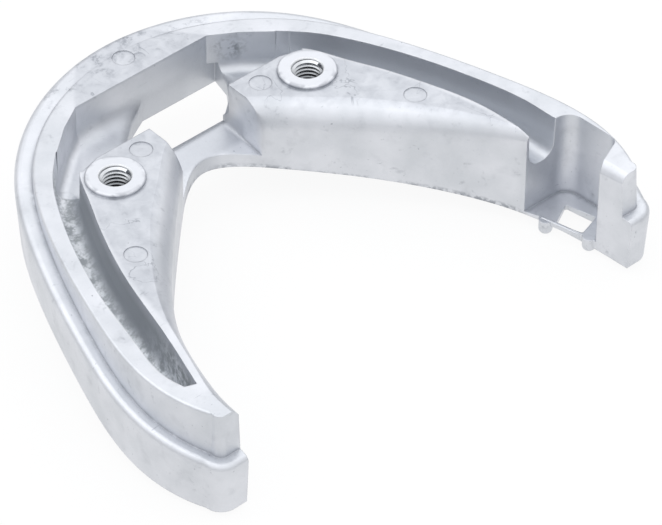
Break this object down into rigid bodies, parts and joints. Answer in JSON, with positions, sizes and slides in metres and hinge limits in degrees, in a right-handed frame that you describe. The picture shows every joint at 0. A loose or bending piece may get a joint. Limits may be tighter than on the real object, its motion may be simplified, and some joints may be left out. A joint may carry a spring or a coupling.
{
  "type": "sacrificial anode",
  "caption": "Horseshoe anode casting with a stepped rim, a channel, crescent blocks with tapped bosses, a window through the bend and an open pocket in one arm.",
  "frame": {"origin": "midway between the two tapped holes, on the plane of the boss tops that seat on the drive", "axes": "+X to the arm with the open pocket, +Y to the bend, +Z out of the tapped holes, away from the underside"},
  "size_m": [0.1958, 0.164, 0.0388],
  "materials": {
    "cast_aluminium": "as-cast satin, bright and lightly scuffed"
  },
  "bodies": {
    "root": {"anode_casting": "cast_aluminium"}
  },
  "joints": []
}
